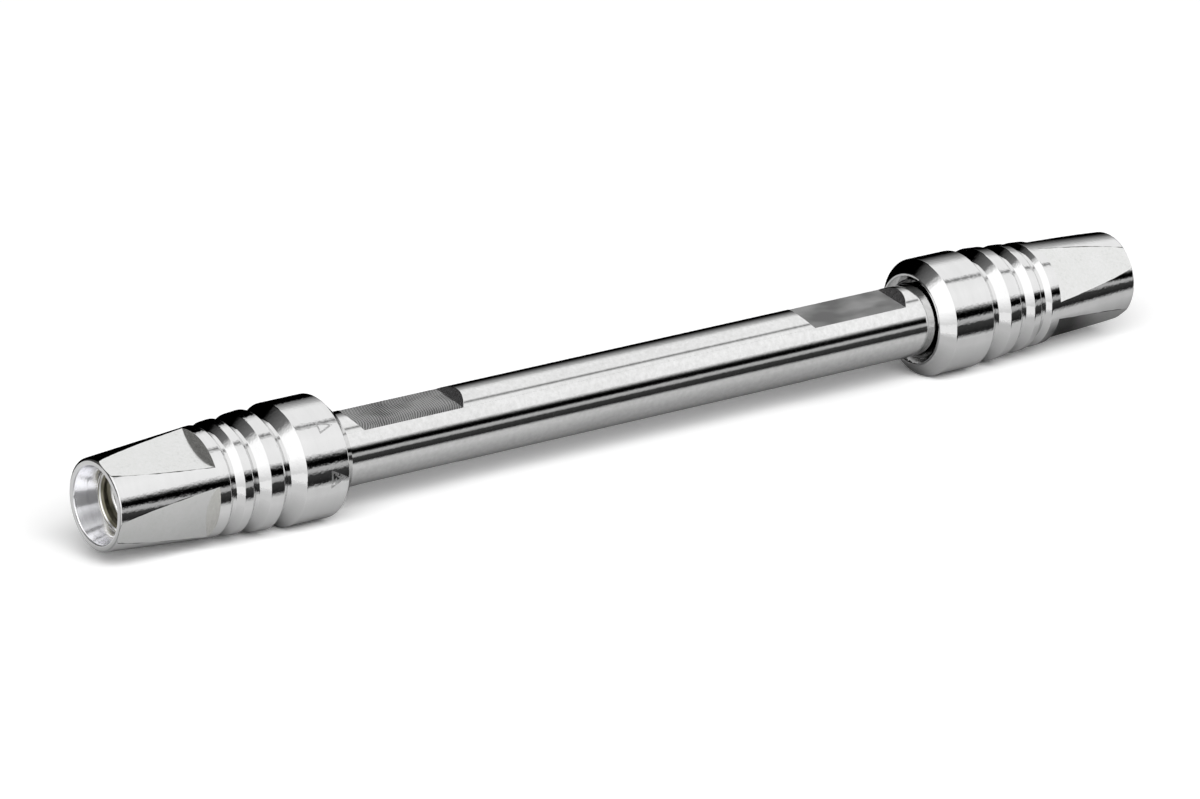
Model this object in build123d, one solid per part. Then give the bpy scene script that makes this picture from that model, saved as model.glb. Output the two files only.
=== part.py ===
"""Analytical HPLC column: a packed stainless tube with a turned end fitting screwed on each end.

Frame: +X along the column from inlet to outlet, +Z up, origin at the middle of the axis.
The column lies on its two end fittings' collars. Lengths are in millimetres.
"""

import os
from math import radians, tan

from build123d import *

INCH = 25.4

# Column tube: 1/4 in stainless, 2.1 mm bore, 75 mm bed
TUBE_R = INCH / 4 / 2
TUBE_BORE_R = 2.1 / 2
TUBE_LENGTH = 75.0
TUBE_EDGE = 0.25
TUBE_FLATS_ACROSS = 5.0
TUBE_FLATS_LENGTH = 10.0
TUBE_FLATS_AT = 23.5
TUBE_FLATS_ROLL = 9.2

# Screwed joint between the tube and each end fitting: 1/4-28 thread, modelled plain
THREAD_CLEARANCE = 0.05
THREAD_BORE_R = TUBE_R + THREAD_CLEARANCE

# Frit with its sealing ring, clamped between the tube's end and the fitting's seat
FRIT_R = 2.0
FRIT_THICKNESS = 1.5
RING_R = TUBE_R - 0.025

# End fitting, outside: x runs from the mouth that takes the tube (0) to the tip
FITTING_LENGTH = 22.37
MOUTH_AT = 30.88
COLLAR_R = 5.2
COLLAR_END = 5.2
MOUTH_FACE_R = 4.1
MOUTH_CHAMFER = COLLAR_R - MOUTH_FACE_R
TIP_R = 3.9
TIP_CHAMFER = 0.15
GROOVE_FLOOR_R = 4.22
GROOVE_FLOOR_WIDTH = 0.33
GROOVES_AT = (6.34, 9.42, 11.65)
NOSE_FLATS = 4
NOSE_FLATS_ACROSS = 7.53
NOSE_FLATS_START = 13.27
INLET_ROLL = 22.8
OUTLET_ROLL = 51.9

# End fitting, socket for the tube
MOUTH_BORE_R = 3.47
MOUTH_BORE_DEPTH = 2.0
MOUTH_COUNTERSINK = 0.43
SEAT_DEPTH = TUBE_LENGTH / 2 + FRIT_THICKNESS - MOUTH_AT
SPREADER_DEPTH = 0.25
PASSAGE_R = 0.25 / 2

# End fitting, 10-32 coned port for 1/16 in tubing, measured in from the tip face
CUP_MOUTH_R = 3.28
CUP_FLOOR_R = 2.75
CUP_DEPTH = 2.05
PORT_R = 0.19 * INCH / 2
PORT_THREAD_LENGTH = 4.8
CONE_MOUTH_R = 1.95
CONE_HALF_ANGLE = 20.0
PILOT_R = INCH / 16 / 2 + 0.02
PILOT_DEPTH = 1.4

CUT_MARGIN = 2.0


def turned(*outline):
    """The solid that a lathe leaves from a closed outline of (x, radius) points."""
    return revolve(make_face(Polyline(*outline, close=True)), Axis.X, 360)


def fitting_blank():
    """Chamfered collar that runs out in one long taper to the bevelled tip."""
    return turned(
        (0, 0),
        (0, MOUTH_FACE_R),
        (MOUTH_CHAMFER, COLLAR_R),
        (COLLAR_END, COLLAR_R),
        (FITTING_LENGTH - TIP_CHAMFER, TIP_R),
        (FITTING_LENGTH, TIP_R - TIP_CHAMFER),
        (FITTING_LENGTH, 0),
    )


def grip_grooves():
    """Rings cut by a 90 degree tool with a narrow flat nose, all to one floor diameter."""
    half = GROOVE_FLOOR_WIDTH / 2
    rise = CUT_MARGIN
    top = GROOVE_FLOOR_R + rise
    return [
        turned(
            (at - half, GROOVE_FLOOR_R),
            (at + half, GROOVE_FLOOR_R),
            (at + half + rise, top),
            (at - half - rise, top),
        )
        for at in GROOVES_AT
    ]


def nose_flats():
    """Wrench flats milled along the tapered nose, parallel to the axis, each to a square shoulder."""
    length = FITTING_LENGTH - NOSE_FLATS_START + CUT_MARGIN
    waste = Box(
        length,
        3 * TIP_R,
        CUT_MARGIN,
        align=(Align.MIN, Align.CENTER, Align.MIN),
    )
    waste = Pos(NOSE_FLATS_START, 0, NOSE_FLATS_ACROSS / 2) * waste
    return [Rot(360 / NOSE_FLATS * n, 0, 0) * waste for n in range(NOSE_FLATS)]


def tube_socket():
    """Countersunk clearance mouth, thread bore and seat, then the cone that spreads the flow."""
    return turned(
        (-CUT_MARGIN, 0),
        (-CUT_MARGIN, MOUTH_BORE_R + MOUTH_COUNTERSINK + CUT_MARGIN),
        (MOUTH_COUNTERSINK, MOUTH_BORE_R),
        (MOUTH_BORE_DEPTH, MOUTH_BORE_R),
        (MOUTH_BORE_DEPTH, THREAD_BORE_R),
        (SEAT_DEPTH, THREAD_BORE_R),
        (SEAT_DEPTH, TUBE_BORE_R),
        (SEAT_DEPTH + SPREADER_DEPTH, PASSAGE_R),
        (SEAT_DEPTH + SPREADER_DEPTH, 0),
    )


def coned_port():
    """Entry cup, thread bore, ferrule cone, pilot for the tubing's end and the fine passage."""
    cup_floor = FITTING_LENGTH - CUP_DEPTH
    thread_start = cup_floor - (CUP_FLOOR_R - PORT_R)
    thread_end = thread_start - PORT_THREAD_LENGTH
    cone_mouth = thread_end - (PORT_R - CONE_MOUTH_R)
    cone_end = cone_mouth - (CONE_MOUTH_R - PILOT_R) / tan(radians(CONE_HALF_ANGLE))
    pilot_end = cone_end - PILOT_DEPTH
    return turned(
        (FITTING_LENGTH, 0),
        (FITTING_LENGTH, CUP_MOUTH_R),
        (cup_floor, CUP_FLOOR_R),
        (thread_start, PORT_R),
        (thread_end, PORT_R),
        (cone_mouth, CONE_MOUTH_R),
        (cone_end, PILOT_R),
        (pilot_end, PILOT_R),
        (pilot_end, PASSAGE_R),
        (SEAT_DEPTH, PASSAGE_R),
        (SEAT_DEPTH, 0),
    )


def end_fitting():
    """One turned and milled piece, its mouth at x = 0 and one flat facing up."""
    return fitting_blank() - grip_grooves() - nose_flats() - tube_socket() - coned_port()


def column_tube():
    """Plain tube with bevelled ends and a pair of wrench flats near each end."""
    end = TUBE_LENGTH / 2
    tube = turned(
        (-end, TUBE_BORE_R),
        (-end, TUBE_R - TUBE_EDGE),
        (-end + TUBE_EDGE, TUBE_R),
        (end - TUBE_EDGE, TUBE_R),
        (end, TUBE_R - TUBE_EDGE),
        (end, TUBE_BORE_R),
    )
    for side in (-1, 1):
        for facing in (0, 180):
            tube -= tube_flat(side * TUBE_FLATS_AT, TUBE_FLATS_ROLL + facing)
    return tube


def tube_flat(at, roll):
    """Waste of one flat: a level floor between two 45 degree shoulders."""
    half = TUBE_FLATS_LENGTH / 2
    floor = TUBE_FLATS_ACROSS / 2
    outline = Polyline(
        (at - half, floor),
        (at + half, floor),
        (at + half + CUT_MARGIN, floor + CUT_MARGIN),
        (at - half - CUT_MARGIN, floor + CUT_MARGIN),
        close=True,
    )
    waste = extrude(Plane.XZ * make_face(outline), TUBE_R, both=True)
    return Rot(roll, 0, 0) * waste


def packed_bed():
    """The silica bed, which fills the tube's bore from frit to frit."""
    return Cylinder(TUBE_BORE_R, TUBE_LENGTH, rotation=(0, 90, 0))


def frit():
    """Porous steel disc, its inner face at x = 0."""
    return turned((0, 0), (0, FRIT_R), (FRIT_THICKNESS, FRIT_R), (FRIT_THICKNESS, 0))


def frit_ring():
    """Polymer ring around the frit that seals the tube's end against the seat."""
    return turned(
        (0, FRIT_R),
        (0, RING_R),
        (FRIT_THICKNESS, RING_R),
        (FRIT_THICKNESS, FRIT_R),
    )


def at_outlet(piece, distance, roll=0):
    """Moved to the outlet end and rolled about the axis."""
    return Pos(distance, 0, 0) * Rot(roll, 0, 0) * piece


def at_inlet(piece, distance, roll=0):
    """Moved to the inlet end, turned end for end about Z, and rolled about the axis."""
    return Rot(roll, 0, 0) * Rot(0, 0, 180) * Pos(distance, 0, 0) * piece


fitting = end_fitting()
nodes = {
    "column_tube": column_tube(),
    "packed_bed": packed_bed(),
    "inlet_end_fitting": at_inlet(fitting, MOUTH_AT, INLET_ROLL),
    "outlet_end_fitting": at_outlet(fitting, MOUTH_AT, OUTLET_ROLL),
    "inlet_frit": at_inlet(frit(), TUBE_LENGTH / 2),
    "outlet_frit": at_outlet(frit(), TUBE_LENGTH / 2),
    "inlet_frit_ring": at_inlet(frit_ring(), TUBE_LENGTH / 2),
    "outlet_frit_ring": at_outlet(frit_ring(), TUBE_LENGTH / 2),
}

os.makedirs("parts", exist_ok=True)
for name, solid in nodes.items():
    export_step(solid, f"parts/{name}.step")
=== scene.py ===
from math import cos, pi, radians, sin, tan

import bmesh
import bpy
from mathutils import Matrix, Vector


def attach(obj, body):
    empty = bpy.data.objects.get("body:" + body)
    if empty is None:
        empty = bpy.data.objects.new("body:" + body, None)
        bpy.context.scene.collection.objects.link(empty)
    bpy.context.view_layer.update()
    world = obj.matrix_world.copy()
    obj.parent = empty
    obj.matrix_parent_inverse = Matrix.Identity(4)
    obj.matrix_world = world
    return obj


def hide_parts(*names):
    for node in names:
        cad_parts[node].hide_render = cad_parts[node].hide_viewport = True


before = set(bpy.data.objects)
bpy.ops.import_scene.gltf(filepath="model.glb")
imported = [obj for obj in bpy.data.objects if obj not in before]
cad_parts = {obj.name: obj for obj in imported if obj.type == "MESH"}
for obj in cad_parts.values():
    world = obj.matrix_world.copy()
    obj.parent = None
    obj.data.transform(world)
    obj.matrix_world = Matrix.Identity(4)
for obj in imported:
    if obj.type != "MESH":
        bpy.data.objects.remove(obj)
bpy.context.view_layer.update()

# ---------------------------------------------------------------------------
# Column tube
# Quarter-inch stainless tube, drawn, ground and polished. Its ends are turned
# down to the root of a 1/4-28 thread, and spanner flats are milled near them.
# ---------------------------------------------------------------------------
MM = 0.001
TUBE_R = 3.175
TUBE_BORE_R = 1.05
TUBE_END = 37.5
TUBE_THREAD_START = 32.75
TUBE_THREAD_RELIEF = 33.2
TUBE_THREAD_ROOT_R = 2.72
TUBE_FLAT_AT = 23.5
TUBE_FLAT_HALF_LENGTH = 5.0
TUBE_FLAT_HEIGHT = 2.5
TUBE_FLAT_ROLL = 9.2
TUBE_EDGE = 0.04
SHOULDER_EDGE = 0.06
CUT_MARGIN = 2.0


def arc_corner(before, corner, after, size, steps):
    """Points that round one corner of an outline, starting and ending size away from it."""
    a, b, c = Vector(before), Vector(corner), Vector(after)
    start = b + (a - b).normalized() * min(size, 0.45 * (a - b).length)
    end = b + (c - b).normalized() * min(size, 0.45 * (c - b).length)
    points = []
    for i in range(steps + 1):
        t = i / steps
        points.append(tuple(start * (1 - t) ** 2 + b * 2 * t * (1 - t) + end * t * t))
    return points


def eased(outline, size, keep=(), rounded=None):
    """A closed outline with its corners broken by size.

    The corners that rounded lists get its own sizes, and the ones numbered in keep stay sharp.
    """
    larger = rounded or {}
    points = []
    for i, point in enumerate(outline):
        if i in keep:
            points.append(point)
            continue
        before, after = outline[i - 1], outline[(i + 1) % len(outline)]
        steps = 18 if point in larger else 3
        points += arc_corner(before, point, after, larger.get(point, size), steps)
    return points


def turned(outline, x_sign=1):
    """A closed solid turned about X from a closed outline of (x, radius) points in millimetres."""
    bm = bmesh.new()
    verts = [bm.verts.new((x_sign * x * MM, 0, r * MM)) for x, r in outline]
    edges = [bm.edges.new((verts[i - 1], v)) for i, v in enumerate(verts)]
    bmesh.ops.spin(
        bm,
        geom=verts + edges,
        cent=(0, 0, 0),
        axis=(1, 0, 0),
        angle=2 * pi,
        steps=256,
        use_merge=True,
    )
    bmesh.ops.remove_doubles(bm, verts=bm.verts, dist=1e-7)
    bmesh.ops.recalc_face_normals(bm, faces=bm.faces)
    return bm


def as_object(name, bm):
    mesh = bpy.data.meshes.new(name)
    bm.to_mesh(mesh)
    bm.free()
    obj = bpy.data.objects.new(name, mesh)
    bpy.context.scene.collection.objects.link(obj)
    return obj


def milled(obj, cutters):
    """Takes the cutters away from obj, as a milling cutter does."""
    for cutter in cutters:
        boolean = obj.modifiers.new("mill", "BOOLEAN")
        boolean.object = cutter
        boolean.operation = "DIFFERENCE"
        boolean.solver = "EXACT"
    evaluated = obj.evaluated_get(bpy.context.evaluated_depsgraph_get())
    mesh = bpy.data.meshes.new_from_object(evaluated)
    obj.modifiers.clear()
    obj.data = mesh
    for cutter in cutters:
        bpy.data.objects.remove(cutter)


def share_out(obj, materials, pick):
    """Gives each face the material that pick numbers from the face's centre and normal."""
    obj.data.materials.clear()
    for material in materials:
        obj.data.materials.append(material)
    bm = bmesh.new()
    bm.from_mesh(obj.data)
    for face in bm.faces:
        face.material_index = pick(face.calc_center_median() / MM, face.normal)
    bm.to_mesh(obj.data)
    bm.free()


def smooth(obj, degrees):
    mesh = obj.data
    mesh.polygons.foreach_set("use_smooth", [True] * len(mesh.polygons))
    mesh.set_sharp_from_angle(angle=radians(degrees))


def add(tree, kind, **settings):
    node = tree.nodes.new(kind)
    for key, value in settings.items():
        setattr(node, key, value)
    return node


def calc(tree, operation, a, b=None):
    """Output of a Math node over numbers and sockets."""
    node = add(tree, "ShaderNodeMath", operation=operation)
    for socket, value in zip(node.inputs, (a, b)):
        if isinstance(value, (int, float)):
            socket.default_value = value
        elif value is not None:
            tree.links.new(value, socket)
    return node.outputs[0]


def ranged(tree, value, low, high, to_low, to_high):
    """value carried from low and high to to_low and to_high, and held beyond them."""
    node = add(tree, "ShaderNodeMapRange")
    for socket, number in zip(list(node.inputs)[1:5], (low, high, to_low, to_high)):
        socket.default_value = number
    tree.links.new(value, node.inputs[0])
    return node.outputs[0]


def place_of(tree):
    """X, Y and Z of a point of the piece, in metres."""
    coords = add(tree, "ShaderNodeTexCoord")
    split = add(tree, "ShaderNodeSeparateXYZ")
    tree.links.new(coords.outputs["Object"], split.inputs[0])
    return split.outputs["X"], split.outputs["Y"], split.outputs["Z"]


def new_effect(name, inputs, outputs):
    """An empty node group with its sockets, its input node and its output node."""
    group = bpy.data.node_groups.new(name, "ShaderNodeTree")
    for socket, kind in inputs.items():
        group.interface.new_socket(socket, in_out="INPUT", socket_type=kind)
    for socket in outputs:
        group.interface.new_socket(socket, in_out="OUTPUT", socket_type="NodeSocketFloat")
    return group, add(group, "NodeGroupInput"), add(group, "NodeGroupOutput")


grain_effect, given, result = new_effect(
    "grain", {"Scale": "NodeSocketVector", "Detail": "NodeSocketFloat"}, ["Grain"]
)
coords = add(grain_effect, "ShaderNodeTexCoord")
stretched = add(grain_effect, "ShaderNodeVectorMath", operation="MULTIPLY")
cloud = add(grain_effect, "ShaderNodeTexNoise")
cloud.inputs["Scale"].default_value = 1.0
cloud.inputs["Roughness"].default_value = 0.55
grain_effect.links.new(coords.outputs["Object"], stretched.inputs[0])
grain_effect.links.new(given.outputs["Scale"], stretched.inputs[1])
grain_effect.links.new(stretched.outputs["Vector"], cloud.inputs["Vector"])
grain_effect.links.new(given.outputs["Detail"], cloud.inputs["Detail"])
grain_effect.links.new(cloud.outputs["Fac"], result.inputs["Grain"])


def grain(tree, along, across, detail=3.0):
    """Grain with so many cells a metre along X and across it."""
    node = add(tree, "ShaderNodeGroup", node_tree=grain_effect)
    node.inputs["Scale"].default_value = (along, across, across)
    node.inputs["Detail"].default_value = detail
    return node.outputs["Grain"]


def new_material(name, metallic=1.0):
    material = bpy.data.materials.new(name)
    material.use_nodes = True
    shader = material.node_tree.nodes["Principled BSDF"]
    shader.inputs["Metallic"].default_value = metallic
    return material, material.node_tree, shader


def tint(tree, shader, value, dark, light, low=0.3, high=0.7):
    """Base colour that runs from dark to light as value goes from low to high."""
    ramp = add(tree, "ShaderNodeValToRGB")
    ramp.color_ramp.elements[0].position = low
    ramp.color_ramp.elements[0].color = (*dark, 1)
    ramp.color_ramp.elements[1].position = high
    ramp.color_ramp.elements[1].color = (*light, 1)
    tree.links.new(value, ramp.inputs["Fac"])
    tree.links.new(ramp.outputs["Color"], shader.inputs["Base Color"])
    return ramp.color_ramp


def roughen(tree, shader, value, smoothest, roughest, low=0.3, high=0.7):
    """Roughness that runs from smoothest to roughest as value goes from low to high."""
    shine = ranged(tree, value, low, high, smoothest, roughest)
    tree.links.new(shine, shader.inputs["Roughness"])


def bump(tree, shader, height, depth, strength=1.0):
    node = add(tree, "ShaderNodeBump")
    node.inputs["Strength"].default_value = strength
    node.inputs["Distance"].default_value = depth
    tree.links.new(height, node.inputs["Height"])
    tree.links.new(node.outputs["Normal"], shader.inputs["Normal"])


# Ground and polished: faint lengthwise draw marks under a fine speckle.
tube_steel, tree, shader = new_material("tube_steel")
patches = grain(tree, 60, 300)
speckle = grain(tree, 2300, 2300, 2.0)
blotches = calc(
    tree, "ADD", calc(tree, "MULTIPLY", patches, 0.4), calc(tree, "MULTIPLY", speckle, 0.6)
)
tint(tree, shader, blotches, (0.70, 0.70, 0.695), (0.86, 0.86, 0.86))
roughen(tree, shader, patches, 0.05, 0.09)
draw_marks = grain(tree, 25, 5200, 2.0)
height = calc(tree, "ADD", draw_marks, calc(tree, "MULTIPLY", speckle, 12.0))
bump(tree, shader, height, 0.0000012, 0.25)

# Face-milled: bowed tool marks that the cutter's leading and trailing edges leave crossing.
CUTTER_BOW = 160.0
LEADING_PITCH = 0.23 * MM
TRAILING_PITCH = 0.27 * MM
ARCS_DEEP_AT = -26 * MM
ARCS_FAINT_AT = 18 * MM
tube_milled, tree, shader = new_material("tube_milled")
x, y, z = place_of(tree)
wander = ranged(tree, grain(tree, 700, 700, 1.0), 0.3, 0.7, 0.0, 0.16 * MM)
bow = calc(tree, "MULTIPLY", calc(tree, "MULTIPLY", y, y), CUTTER_BOW)
bow = calc(tree, "ADD", bow, wander)
leading = calc(tree, "MULTIPLY", calc(tree, "ADD", x, bow), 2 * pi / LEADING_PITCH)
trailing = calc(tree, "MULTIPLY", calc(tree, "SUBTRACT", x, bow), 2 * pi / TRAILING_PITCH)
arcs = calc(
    tree,
    "ADD",
    calc(tree, "SINE", leading),
    calc(tree, "MULTIPLY", calc(tree, "SINE", trailing), 0.6),
)
arcs = calc(tree, "MULTIPLY", arcs, ranged(tree, x, ARCS_DEEP_AT, ARCS_FAINT_AT, 1.0, 0.12))
arcs = ranged(tree, arcs, -1.3, 1.3, 0.0, 1.0)
dull = grain(tree, 260, 500, 2.0)
marks = calc(
    tree, "ADD", calc(tree, "MULTIPLY", arcs, 0.75), ranged(tree, dull, 0.35, 0.65, 0.0, 0.3)
)
tint(tree, shader, marks, (0.03, 0.03, 0.03), (0.75, 0.75, 0.75), 0.1, 0.9)
roughen(tree, shader, arcs, 0.30, 0.42, 0.0, 1.0)
bump(tree, shader, arcs, 0.000003, 0.5)

tube_shoulder, tree, shader = new_material("tube_shoulder")
scuffs = grain(tree, 3000, 3000)
tint(tree, shader, scuffs, (0.56, 0.55, 0.56), (0.60, 0.59, 0.60))
roughen(tree, shader, scuffs, 0.22, 0.28)
bump(tree, shader, scuffs, 0.0000004, 0.4)

tube_outline = [
    (-TUBE_END, TUBE_BORE_R),
    (-TUBE_END, TUBE_THREAD_ROOT_R),
    (-TUBE_THREAD_RELIEF, TUBE_THREAD_ROOT_R),
    (-TUBE_THREAD_START, TUBE_R),
    (TUBE_THREAD_START, TUBE_R),
    (TUBE_THREAD_RELIEF, TUBE_THREAD_ROOT_R),
    (TUBE_END, TUBE_THREAD_ROOT_R),
    (TUBE_END, TUBE_BORE_R),
]
tube = as_object("column_tube_steel", turned(eased(tube_outline, TUBE_EDGE, keep=(0, 7))))

BARREL, FLAT, SHOULDER = 0, 1, 2


def tube_flat_cutter(at, roll):
    """A block with 45 degree ends, standing on the flat that it is to leave."""
    bm = bmesh.new()
    bmesh.ops.create_cube(bm, size=1)
    for v in bm.verts:
        top = v.co.z > 0
        margin = CUT_MARGIN if top else 0.0
        half = TUBE_FLAT_HALF_LENGTH + margin
        v.co.x = (at + (half if v.co.x > 0 else -half)) * MM
        v.co.y = (4.0 if v.co.y > 0 else -4.0) * MM
        v.co.z = (TUBE_FLAT_HEIGHT + margin) * MM
    bmesh.ops.rotate(bm, verts=bm.verts, matrix=Matrix.Rotation(radians(roll), 3, "X"))
    return as_object("cutter", bm)


def tube_face(centre, normal):
    """Whether a face is on the tube's barrel, on a spanner flat or on a flat's shoulder."""
    if abs(abs(centre.x) - TUBE_FLAT_AT) > TUBE_FLAT_HALF_LENGTH + 1.5:
        return BARREL
    if abs(normal.x) > 0.6:
        return SHOULDER
    across = Vector((0, -sin(radians(TUBE_FLAT_ROLL)), cos(radians(TUBE_FLAT_ROLL))))
    level = abs(abs(centre.dot(across)) - TUBE_FLAT_HEIGHT) < 0.01
    return FLAT if level and abs(normal.dot(across)) > 0.999 else BARREL


def break_shoulders(obj, size):
    """Bevels the sharp edges round the shoulders, and leaves the new faces to the barrel."""
    bm = bmesh.new()
    bm.from_mesh(obj.data)
    rim = [
        e
        for e in bm.edges
        if len(e.link_faces) == 2
        and {f.material_index for f in e.link_faces} in ({BARREL, SHOULDER}, {FLAT, SHOULDER})
        and e.calc_face_angle() > radians(8)
    ]
    broken = bmesh.ops.bevel(
        bm,
        geom=rim,
        offset=size * MM,
        offset_type="OFFSET",
        segments=2,
        profile=0.5,
        affect="EDGES",
        clamp_overlap=True,
        material=-1,
    )
    for face in broken["faces"]:
        face.material_index = BARREL
    bm.to_mesh(obj.data)
    bm.free()


milled(
    tube,
    [
        tube_flat_cutter(side * TUBE_FLAT_AT, TUBE_FLAT_ROLL + turn)
        for side in (-1, 1)
        for turn in (0, 180)
    ],
)
share_out(tube, [tube_steel, tube_milled, tube_shoulder], tube_face)
break_shoulders(tube, SHOULDER_EDGE)
smooth(tube, 5)
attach(tube, "column")
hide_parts("column_tube")

# ---------------------------------------------------------------------------
# Tube threads
# The 1/4-28 thread on each end of the tube, single-point cut, which the end
# fittings screw on to. It shows only when they are unscrewed.
# ---------------------------------------------------------------------------
TUBE_THREAD_PITCH = 0.907


def helix(name, ridge, pitch, turns, steps_a_turn, x_sign):
    """A screw thread's ridge: a closed outline of (x, radius) points carried round the axis."""
    bm = bmesh.new()
    verts = [bm.verts.new((x_sign * x * MM, 0, r * MM)) for x, r in ridge]
    face = bm.faces.new(verts)
    bmesh.ops.spin(
        bm,
        geom=[face] + list(face.edges) + verts,
        cent=(0, 0, 0),
        axis=(1, 0, 0),
        dvec=(x_sign * pitch / steps_a_turn * MM, 0, 0),
        angle=2 * pi * turns,
        steps=int(turns * steps_a_turn),
    )
    bmesh.ops.recalc_face_normals(bm, faces=bm.faces)
    thread = as_object(name, bm)
    smooth(thread, 30)
    return thread


for side, name in ((-1, "inlet_tube_thread"), (1, "outlet_tube_thread")):
    ridge = [(0.0, 2.7), (0.36, 3.14), (0.4, 3.165), (0.5, 3.165), (0.54, 3.14), (0.9, 2.7)]
    ridge = [(TUBE_THREAD_START + x, r) for x, r in ridge]
    thread = helix(name, ridge, TUBE_THREAD_PITCH, 4.2, 96, side)
    thread.data.materials.append(tube_steel)
    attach(thread, "column")

# ---------------------------------------------------------------------------
# End fittings, with the thread in their ports
# Turned from bright stainless bar: a plain collar, three V grooves for grip, a
# long taper and a bevelled tip. Four spanner flats are milled on each nose, and
# the cup in the tip leads to a 10-32 thread that takes the tubing nut.
# ---------------------------------------------------------------------------
INLET_ROLL = 22.8
OUTLET_ROLL = 51.9
MOUTH_AT = 30.88
COLLAR_R = 5.2
TIP_R = 3.9
TAPER_START = 5.2
TAPER_END = 22.22
TAPER = (COLLAR_R - TIP_R) / (TAPER_END - TAPER_START)
TIP_CORNER = (22.37, 3.888)
LIP_CORNER = (22.37, 3.28)
GROOVES_AT = (6.34, 9.42, 11.65)
GROOVE_HALF_WIDTH = 0.165
GROOVE_FLOOR_R = 4.22
NOSE_FLAT_HEIGHT = 3.765
NOSE_FLAT_START = 13.27
PORT_THREAD_END = 15.1
PORT_THREAD_PITCH = 0.794

# Where a point of a nose lies, in metres: Height square to its nearest flat, Radius
# from the column's axis, and Along from the column's middle.
nose_effect, _, result = new_effect("nose_place", {}, ["Height", "Radius", "Along"])
x, y, z = place_of(nose_effect)
at_outlet = calc(nose_effect, "GREATER_THAN", x, 0.0)
roll = ranged(nose_effect, at_outlet, 0.0, 1.0, radians(INLET_ROLL), radians(OUTLET_ROLL))
across, up = calc(nose_effect, "SINE", roll), calc(nose_effect, "COSINE", roll)
one = calc(
    nose_effect,
    "SUBTRACT",
    calc(nose_effect, "MULTIPLY", z, up),
    calc(nose_effect, "MULTIPLY", y, across),
)
other = calc(
    nose_effect,
    "ADD",
    calc(nose_effect, "MULTIPLY", z, across),
    calc(nose_effect, "MULTIPLY", y, up),
)
height = calc(
    nose_effect,
    "MAXIMUM",
    calc(nose_effect, "ABSOLUTE", one),
    calc(nose_effect, "ABSOLUTE", other),
)
squares = calc(
    nose_effect, "ADD", calc(nose_effect, "MULTIPLY", y, y), calc(nose_effect, "MULTIPLY", z, z)
)
nose_effect.links.new(height, result.inputs["Height"])
nose_effect.links.new(calc(nose_effect, "SQRT", squares), result.inputs["Radius"])
nose_effect.links.new(calc(nose_effect, "ABSOLUTE", x), result.inputs["Along"])

# Painted dark reflection: a dark, ragged and broken line where Closeness nears 1, standing in for
# the dark reflection along a milled edge.
painted_edge_effect, given, result = new_effect("painted_edge_line", {"Closeness": "NodeSocketFloat"}, ["Burr"])
ragged = ranged(painted_edge_effect, grain(painted_edge_effect, 700, 2600, 4.0), 0.3, 0.7, -0.75, 0.15)
level = calc(painted_edge_effect, "ADD", given.outputs["Closeness"], ragged)
painted_edge_effect.links.new(ranged(painted_edge_effect, level, 0.3, 0.8, 0.0, 1.0), result.inputs["Burr"])


def painted_edge_line(tree, closeness):
    node = add(tree, "ShaderNodeGroup", node_tree=painted_edge_effect)
    tree.links.new(closeness, node.inputs["Closeness"])
    return node.outputs["Burr"]


def etched_arrowhead(tree, x_base, length, width, roll, line):
    """1 along the outline of a triangle that lies on the collar and points to +X."""
    x, y, z = place_of(tree)
    angle = calc(tree, "ARCTAN2", calc(tree, "MULTIPLY", y, -1.0), z)
    across = calc(tree, "ABSOLUTE", calc(tree, "SUBTRACT", angle, radians(roll)))
    across = calc(tree, "MULTIPLY", across, COLLAR_R * MM)
    from_base = calc(tree, "SUBTRACT", x, x_base * MM)
    to_tip = calc(tree, "SUBTRACT", (x_base + length) * MM, x)
    half = width / 2
    lean = length / (length**2 + half**2) ** 0.5
    from_side = calc(tree, "SUBTRACT", calc(tree, "MULTIPLY", to_tip, half / length), across)
    inside = calc(tree, "MINIMUM", from_base, calc(tree, "MULTIPLY", from_side, lean))
    node = add(tree, "ShaderNodeMath", operation="COMPARE")
    node.inputs[1].default_value = line / 2 * MM
    node.inputs[2].default_value = line / 2 * MM
    tree.links.new(inside, node.inputs[0])
    return node.outputs[0]


# Bright turned steel, finely pitted, with the flow direction etched on the inlet's collar.
ETCHED_AND_PAINTED_EDGE = (0.06, 0.06, 0.055)
BRIGHT = (0.81, 0.81, 0.81)
fitting_steel, tree, shader = new_material("fitting_steel")
patches = grain(tree, 900, 160)
pits = grain(tree, 3400, 3400, 1.5)
rings = grain(tree, 9000, 60, 1.0)
upper = etched_arrowhead(tree, -34.0, 1.5, 1.15, 44, 0.15)
lower = etched_arrowhead(tree, -33.7, 1.5, 1.6, 94, 0.15)
nested = etched_arrowhead(tree, -33.35, 0.75, 0.8, 94, 0.13)
etching = calc(tree, "MAXIMUM", upper, calc(tree, "MAXIMUM", lower, nested))
etching = calc(tree, "MULTIPLY", etching, ranged(tree, pits, 0.34, 0.44, 0.0, 1.0))
place = add(tree, "ShaderNodeGroup", node_tree=nose_effect)
on_nose = calc(tree, "GREATER_THAN", place.outputs["Along"], (MOUTH_AT + NOSE_FLAT_START) * MM)
near_edge = ranged(
    tree, place.outputs["Height"], (NOSE_FLAT_HEIGHT - 0.05) * MM, NOSE_FLAT_HEIGHT * MM, 0.0, 1.0
)
near_edge = calc(tree, "MULTIPLY", near_edge, on_nose)
tone = ranged(tree, patches, 0.3, 0.7, 0.0, 1.0)
tone = calc(tree, "SUBTRACT", tone, calc(tree, "MULTIPLY", etching, 2.0))
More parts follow.
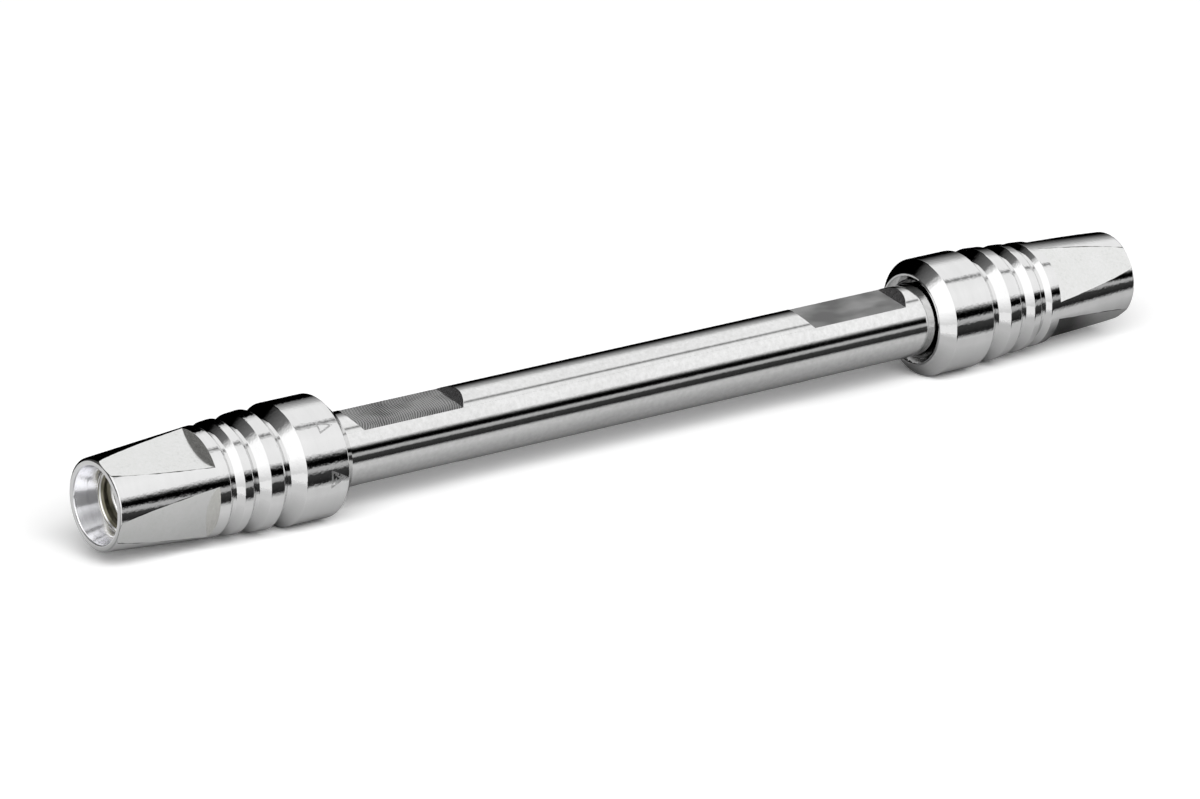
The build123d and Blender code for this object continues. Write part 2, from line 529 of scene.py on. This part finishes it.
# Painted dark reflection along the edges of the nose flats.
tone = calc(tree, "SUBTRACT", tone, calc(tree, "MULTIPLY", painted_edge_line(tree, near_edge), 8.0))
tone = ranged(tree, tone, -4.0, 1.0, 0.0, 1.0)
tones = tint(tree, shader, tone, ETCHED_AND_PAINTED_EDGE, BRIGHT, 0.0, 1.0)
tones.elements.new(0.4).color = (0.42, 0.42, 0.42, 1)
tones.elements.new(0.8).color = (0.76, 0.76, 0.76, 1)
shine = ranged(tree, patches, 0.3, 0.7, 0.045, 0.085)
shine = calc(tree, "ADD", shine, calc(tree, "MULTIPLY", etching, 0.35))
tree.links.new(shine, shader.inputs["Roughness"])
height = calc(tree, "ADD", pits, calc(tree, "MULTIPLY", rings, 0.03))
height = calc(tree, "SUBTRACT", height, calc(tree, "MULTIPLY", etching, 0.6))
bump(tree, shader, height, 0.000007)

# Milled flat: mottled, with a painted dark edge reflection where it meets the taper.
nose_milled, tree, shader = new_material("nose_milled")
mottle = calc(
    tree,
    "ADD",
    calc(tree, "MULTIPLY", grain(tree, 3800, 3800), 0.6),
    calc(tree, "MULTIPLY", grain(tree, 500, 500, 2.0), 0.4),
)
place = add(tree, "ShaderNodeGroup", node_tree=nose_effect)
cone = ranged(
    tree,
    place.outputs["Along"],
    (MOUTH_AT + TAPER_START) * MM,
    (MOUTH_AT + TAPER_END) * MM,
    COLLAR_R * MM,
    TIP_R * MM,
)
depth = calc(tree, "SUBTRACT", cone, place.outputs["Radius"])
near_edge = ranged(tree, depth, 0.035 * MM, 0.0, 0.0, 1.0)
tone = calc(tree, "SUBTRACT", ranged(tree, mottle, 0.3, 0.7, 0.72, 1.0), painted_edge_line(tree, near_edge))
tones = tint(tree, shader, tone, ETCHED_AND_PAINTED_EDGE, BRIGHT, 0.0, 1.0)
tones.elements.new(0.8).color = (0.76, 0.765, 0.755, 1)
roughen(tree, shader, mottle, 0.14, 0.2)
bump(tree, shader, mottle, 0.0000015)

nose_shoulder, tree, shader = new_material("nose_shoulder")
chatter = grain(tree, 900, 2600, 2.0)
tint(tree, shader, chatter, (0.88, 0.87, 0.84), (0.94, 0.93, 0.90))
roughen(tree, shader, chatter, 0.1, 0.16)
bump(tree, shader, chatter, 0.000001)

port_steel, tree, shader = new_material("port_steel", metallic=0.85)
bored = grain(tree, 2800, 60, 2.0)
tint(tree, shader, bored, (0.90, 0.90, 0.92), (0.97, 0.97, 0.99))
roughen(tree, shader, bored, 0.08, 0.16)
bump(tree, shader, bored, 0.000012)

thread_crest, tree, shader = new_material("thread_crest")
rubbed = grain(tree, 1500, 900, 2.0)
tint(tree, shader, rubbed, (0.92, 0.92, 0.90), (0.98, 0.98, 0.97))
roughen(tree, shader, rubbed, 0.2, 0.3)

# Dark olive colour: painted shade on the thread's flanks and deep in the port, and a painted
# shadow line round the cup's inner edge.
thread_flank_painted_shade, tree, shader = new_material("thread_flank_painted_shade")
painted_shade_mottle = grain(tree, 1200, 600, 2.0)
tint(tree, shader, painted_shade_mottle, (0.14, 0.13, 0.09), (0.36, 0.34, 0.27))
roughen(tree, shader, painted_shade_mottle, 0.25, 0.4)


def fitting_outline():
    """The fitting's closed outline, with x from its mouth to its tip."""
    points = [(0, 4.1), (1.1, COLLAR_R)]
    cone_at_mouth = COLLAR_R + TAPER_START * TAPER
    for at in GROOVES_AT:
        left, right = at - GROOVE_HALF_WIDTH, at + GROOVE_HALF_WIDTH
        start = (GROOVE_FLOOR_R + left - cone_at_mouth) / (1 - TAPER)
        end = (cone_at_mouth - GROOVE_FLOOR_R + right) / (1 + TAPER)
        points += [
            (start, min(COLLAR_R, cone_at_mouth - TAPER * start)),
            (left, GROOVE_FLOOR_R),
            (right, GROOVE_FLOOR_R),
            (end, cone_at_mouth - TAPER * end),
        ]
    points += [TIP_CORNER, LIP_CORNER]
    points += [(20.32, 2.75), (20.27, 2.7), (20.14, 2.57), (19.983, 2.413)]
    points += [(15.183, 2.413), (14.72, 1.95), (11.599, 0.814), (10.199, 0.814)]
    points += [(10.199, 0.125), (8.37, 0.125), (8.12, 1.05), (8.12, 3.225)]
    points += [(2.0, 3.225), (2.0, 3.47), (0.43, 3.47), (0, 3.9)]
    return points


def nose_cutter(side, roll):
    """The waste beside one spanner flat, from its square shoulder to beyond the tip."""
    bm = bmesh.new()
    bmesh.ops.create_cube(bm, size=1)
    for v in bm.verts:
        v.co.x = side * (MOUTH_AT + (NOSE_FLAT_START if v.co.x < 0 else 24.0)) * MM
        v.co.y = (6.0 if v.co.y > 0 else -6.0) * MM
        v.co.z = (NOSE_FLAT_HEIGHT if v.co.z < 0 else 7.0) * MM
    bmesh.ops.rotate(bm, verts=bm.verts, matrix=Matrix.Rotation(radians(roll), 3, "X"))
    bmesh.ops.recalc_face_normals(bm, faces=bm.faces)
    return as_object("cutter", bm)


def end_fitting(name, body, node, side, roll):
    """One fitting and its port thread, on the inlet's side at -1 and on the outlet's at 1."""
    outline = eased(fitting_outline(), 0.05, rounded={TIP_CORNER: 0.24, LIP_CORNER: 0.16})
    fitting = as_object(name, turned([(MOUTH_AT + x, r) for x, r in outline], side))
    milled(fitting, [nose_cutter(side, roll + 90 * n) for n in range(4)])
    flats = [radians(roll + 90 * n) for n in range(4)]

    def face_number(centre, normal):
        """1 on a flat, 3 on its shoulder, 2 in the cup, 4 and 5 further in, 0 elsewhere."""
        outward = [centre.z * cos(a) - centre.y * sin(a) for a in flats]
        if any(abs(out - NOSE_FLAT_HEIGHT) < 0.003 for out in outward) and abs(normal.x) < 0.01:
            return 1
        radius = (centre.y**2 + centre.z**2) ** 0.5
        along = abs(centre.x) - MOUTH_AT
        if abs(along - NOSE_FLAT_START) < 0.003 and abs(normal.x) > 0.99:
            return 3
        if along > 9.0 and radius < 3.43 and (along < 22.36 or radius < 3.3):
            if radius > 2.74:
                return 2
            # 4 paints the shade deep in the port and the shadow line at the cup's inner edge; 5 is
            # the bright cone between them.
            return 5 if 2.57 < radius < 2.69 else 4
        return 0

    steels = [fitting_steel, nose_milled, port_steel, nose_shoulder, thread_flank_painted_shade, thread_crest]
    share_out(fitting, steels, face_number)
    smooth(fitting, 5)
    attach(fitting, body)
    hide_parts(node)

    ridge = [(0.04, 2.43), (0.3, 2.02), (0.36, 1.98), (0.46, 1.98)]
    ridge += [(0.54, 2.04), (0.6, 2.13), (0.77, 2.43)]
    ridge = [(MOUTH_AT + PORT_THREAD_END + x, r) for x, r in ridge]
    thread = helix(name + "_port_thread", ridge, PORT_THREAD_PITCH, 5.4, 64, side)
    thread.data.materials.append(thread_crest)
    thread.data.materials.append(thread_flank_painted_shade)
    for face in thread.data.polygons:
        crest = (face.center.y**2 + face.center.z**2) ** 0.5 < 2.12 * MM
        face.material_index = 0 if crest else 1
    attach(thread, body)


end_fitting("inlet_end_fitting_steel", "inlet_fitting", "inlet_end_fitting", -1, INLET_ROLL)
end_fitting("outlet_end_fitting_steel", "outlet_fitting", "outlet_end_fitting", 1, OUTLET_ROLL)

# ---------------------------------------------------------------------------
# Frits, sealing rings and packed bed
# Sintered steel discs in beige polymer rings at the tube's ends, and the white
# silica bed between them. They keep their CAD meshes.
# ---------------------------------------------------------------------------
sintered, tree, shader = new_material("sintered_steel", metallic=0.9)
shader.inputs["Roughness"].default_value = 0.55
grains = grain(tree, 14000, 14000, 2.0)
tint(tree, shader, grains, (0.28, 0.27, 0.26), (0.52, 0.51, 0.49))
bump(tree, shader, grains, 0.00002, 0.6)

polymer, tree, shader = new_material("seal_polymer", metallic=0.0)
shader.inputs["Roughness"].default_value = 0.38
haze = grain(tree, 900, 900)
tint(tree, shader, haze, (0.66, 0.60, 0.46), (0.76, 0.70, 0.56))
bump(tree, shader, haze, 0.000008, 0.2)

silica, tree, shader = new_material("silica_bed", metallic=0.0)
shader.inputs["Roughness"].default_value = 0.9
powder = grain(tree, 9000, 9000, 4.0)
tint(tree, shader, powder, (0.86, 0.86, 0.84), (0.95, 0.95, 0.93))
bump(tree, shader, powder, 0.00001, 0.5)

for node, material in (
    ("inlet_frit", sintered),
    ("outlet_frit", sintered),
    ("inlet_frit_ring", polymer),
    ("outlet_frit_ring", polymer),
    ("packed_bed", silica),
):
    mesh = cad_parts[node].data
    mesh.materials.clear()
    mesh.materials.append(material)

# ---------------------------------------------------------------------------
# Floor
# A pale paper sweep that keeps the shadows. The polished steel doesn't see it:
# it sees the narrow board in the next section instead.
# ---------------------------------------------------------------------------
FLOOR_Z = -COLLAR_R * MM

bm = bmesh.new()
bmesh.ops.create_grid(bm, x_segments=1, y_segments=1, size=4)
bmesh.ops.translate(bm, verts=bm.verts, vec=(0, 0, FLOOR_Z - 0.02 * MM))
floor = as_object("floor", bm)
paper = bpy.data.materials.new("floor_paper")
paper.use_nodes = True
tree = paper.node_tree
tree.nodes.clear()
out = add(tree, "ShaderNodeOutputMaterial")
diffuse = add(tree, "ShaderNodeBsdfDiffuse")
light_path = add(tree, "ShaderNodeLightPath")
pale = add(tree, "ShaderNodeMix", data_type="RGBA")
to_light, to_camera = pale.inputs[6], pale.inputs[7]
to_light.default_value = (0.68, 0.68, 0.68, 1)
to_camera.default_value = (1.16, 1.16, 1.16, 1)
tree.links.new(light_path.outputs["Is Camera Ray"], pale.inputs[0])
tree.links.new(pale.outputs[2], diffuse.inputs["Color"])
tree.links.new(diffuse.outputs[0], out.inputs["Surface"])
floor.data.materials.append(paper)
floor.visible_glossy = False

# ---------------------------------------------------------------------------
# Studio
# A white tent, one large soft key light in front on the left, and cards and a
# board that only reflections see, which give the steel its dark bands.
# ---------------------------------------------------------------------------
def only_in_reflections(obj):
    obj.visible_camera = False
    obj.visible_diffuse = False
    obj.visible_shadow = False
    obj.visible_transmission = False


def card_shade(name, stops, about, horizon):
    """Emission that follows stops of (degrees, strength) about an axis.

    It falls to horizon times that strength near the floor.
    """
    material = bpy.data.materials.new(name)
    material.use_nodes = True
    tree = material.node_tree
    tree.nodes.clear()
    out = add(tree, "ShaderNodeOutputMaterial")
    glow = add(tree, "ShaderNodeEmission")
    x, y, z = place_of(tree)
    if about == "X":
        angle = calc(tree, "ARCTAN2", calc(tree, "MULTIPLY", y, -1.0), z)
    else:
        angle = calc(tree, "ARCTAN2", x, y)
    first, last = stops[0][0], stops[-1][0]
    ramp = add(tree, "ShaderNodeValToRGB")
    ramp.color_ramp.elements[0].color = (*[stops[0][1]] * 3, 1)
    ramp.color_ramp.elements[1].color = (*[stops[-1][1]] * 3, 1)
    for at, strength in stops[1:-1]:
        element = ramp.color_ramp.elements.new((at - first) / (last - first))
        element.color = (*[strength] * 3, 1)
    share = ranged(tree, angle, radians(first), radians(last), 0.0, 1.0)
    tree.links.new(share, ramp.inputs["Fac"])
    tree.links.new(ramp.outputs["Color"], glow.inputs["Color"])
    tree.links.new(ranged(tree, z, -0.2, 0.35, horizon, 1.0), glow.inputs["Strength"])
    tree.links.new(glow.outputs[0], out.inputs["Surface"])
    return material


def curved_card(name, stops, edge_points, about, horizon=1.0):
    """A strip swept about X or Z, from its starting edge through the angles of its stops."""
    bm = bmesh.new()
    verts = [bm.verts.new(point) for point in edge_points]
    edge = bm.edges.new(verts)
    bmesh.ops.spin(
        bm,
        geom=verts + [edge],
        cent=(0, 0, 0),
        axis=(1, 0, 0) if about == "X" else (0, 0, -1),
        angle=radians(stops[-1][0]) - radians(stops[0][0]),
        steps=24,
    )
    card = as_object(name, bm)
    card.data.materials.append(card_shade(name, stops, about, horizon))
    only_in_reflections(card)


def long_card(name, stops, x_from, distance=1.6):
    """A strip curved round X, with its angles measured from +Z towards -Y."""
    start = radians(stops[0][0])
    y, z = -distance * sin(start), distance * cos(start)
    curved_card(name, stops, [(x_from, y, z), (4.5, y, z)], "X")


def round_card(name, stops, low, high, distance, horizon=1.0):
    """A strip curved round Z, with its azimuths measured from +Y towards +X."""
    start = radians(stops[0][0])
    x, y = distance * sin(start), distance * cos(start)
    edge_points = [(x, y, distance * tan(radians(e))) for e in (low, high)]
    curved_card(name, stops, edge_points, "Z", horizon)


long_card(
    "card_back",
    [(-170, 0.0), (-74, 0.0), (-62, 0.13), (-44, 0.52), (-37, 0.85), (-30, 1.0)],
    x_from=0.5,
)
long_card("card_seam", [(5, 1.0), (11, 0.2), (18, 1.0)], x_from=0.5)
long_card("card_key", [(18, 1.0), (42, 1.05), (66, 1.0)], x_from=0.5, distance=1.65)
long_card(
    "card_front",
    [(66, 1.0), (75, 0.06), (79, 0.0), (87, 0.0), (90, 0.2)],
    x_from=-1.3,
)
long_card(
    "card_low",
    [(89.5, 0.2), (92, 0.5), (98, 0.45), (102, 0.05), (127, 0.0)],
    x_from=-1.3,
)
round_card(
    "card_side",
    [(-90, 1.0), (-74, 0.2), (-40, 0.08), (-27, 0.0), (34, 0.0)],
    low=-40,
    high=60,
    distance=1.2,
)
round_card(
    "card_left",
    [(-170, 1.0), (-150, 1.3), (-95, 1.3), (-88, 1.0)],
    low=-8,
    high=62,
    distance=1.4,
    horizon=0.6,
)
round_card("card_horizon", [(-112, 0.9), (-100, 0.1), (-50, 0.05)], low=-8, high=20, distance=1.0)

# The board's colour holds painted shade: a painted shadow, darkest under the column and under the
# far nose, and painted light that is brighter towards the left. It thins out at its front.
BOARD_FRONT = -13.6 * MM
BOARD_BACK = 26.0 * MM
bm = bmesh.new()
bmesh.ops.create_grid(bm, x_segments=1, y_segments=1, size=1.0)
for v in bm.verts:
    v.co.x *= 3.0
    v.co.y = BOARD_BACK if v.co.y > 0 else BOARD_FRONT
    v.co.z = FLOOR_Z
board = as_object("table_in_reflections", bm)
board_painted_light_and_shade, tree, shader = new_material("table_board_painted_light_and_shade", metallic=0.0)
shader.inputs["Roughness"].default_value = 0.9
x, y, z = place_of(tree)
from_middle = calc(tree, "ABSOLUTE", y)
# Painted shadow that deepens towards the column's middle, and painted light that is brighter
# towards the left.
painted_light_and_shade = calc(
    tree,
    "MULTIPLY",
    ranged(tree, from_middle, 0.5 * MM, 7.5 * MM, 0.40, 1.0),
    ranged(tree, x, -45 * MM, 0.0, 0.70, 0.6),
)
# Painted shadow under the far nose.
nose_shadow_span = calc(
    tree,
    "MULTIPLY",
    ranged(tree, x, 43.5 * MM, 46.5 * MM, 0.0, 1.0),
    ranged(tree, x, 49.5 * MM, 52.5 * MM, 1.0, 0.0),
)
midway = ranged(tree, from_middle, 3.5 * MM, 7.5 * MM, 0.8, 0.0)
painted_nose_shadow = calc(tree, "SUBTRACT", 1.0, calc(tree, "MULTIPLY", nose_shadow_span, midway))
painted_light_and_shade = calc(tree, "MULTIPLY", painted_light_and_shade, painted_nose_shadow)
tint(tree, shader, painted_light_and_shade, (0, 0, 0), (1, 1, 1), 0.0, 1.0)
tree.links.new(ranged(tree, y, -13.4 * MM, -10.2 * MM, 0.0, 1.0), shader.inputs["Alpha"])
board.data.materials.append(board_painted_light_and_shade)
only_in_reflections(board)

key = bpy.data.lights.new("key", "AREA")
key.shape = "RECTANGLE"
key.size = 4.5
key.size_y = 2.4
key.energy = 172.0
key_obj = bpy.data.objects.new("key", key)
key_obj.location = (-1.2, -2.483, 2.155)
key_obj.rotation_euler = (radians(52), 0, radians(-25.8))
key_obj.visible_glossy = False
bpy.context.scene.collection.objects.link(key_obj)

world = bpy.data.worlds.new("tent")
bpy.context.scene.world = world
world.use_nodes = True
tree = world.node_tree
background = tree.nodes["Background"]
background.inputs["Color"].default_value = (1, 1, 1, 1)
light_path = add(tree, "ShaderNodeLightPath")
seen = calc(
    tree, "MAXIMUM", light_path.outputs["Is Camera Ray"], light_path.outputs["Is Glossy Ray"]
)
seen = calc(tree, "MAXIMUM", seen, light_path.outputs["Is Transmission Ray"])
tree.links.new(ranged(tree, seen, 0.0, 1.0, 0.3, 1.0), background.inputs["Strength"])

# ---------------------------------------------------------------------------
# Camera and view settings
# A long lens from the front left, a little above the column, with no shift.
# ---------------------------------------------------------------------------
camera = bpy.data.cameras.new("camera")
camera.lens = 215.264
camera.sensor_width = 36.0
camera.clip_start = 0.01
camera_obj = bpy.data.objects.new("camera", camera)
camera_obj.location = (-0.346109, -0.462061, 0.185459)
camera_obj.rotation_euler = (radians(90 - 17.93), 0, radians(-36.62))
bpy.context.scene.collection.objects.link(camera_obj)
bpy.context.scene.camera = camera_obj

bpy.context.scene.view_settings.view_transform = "Standard"
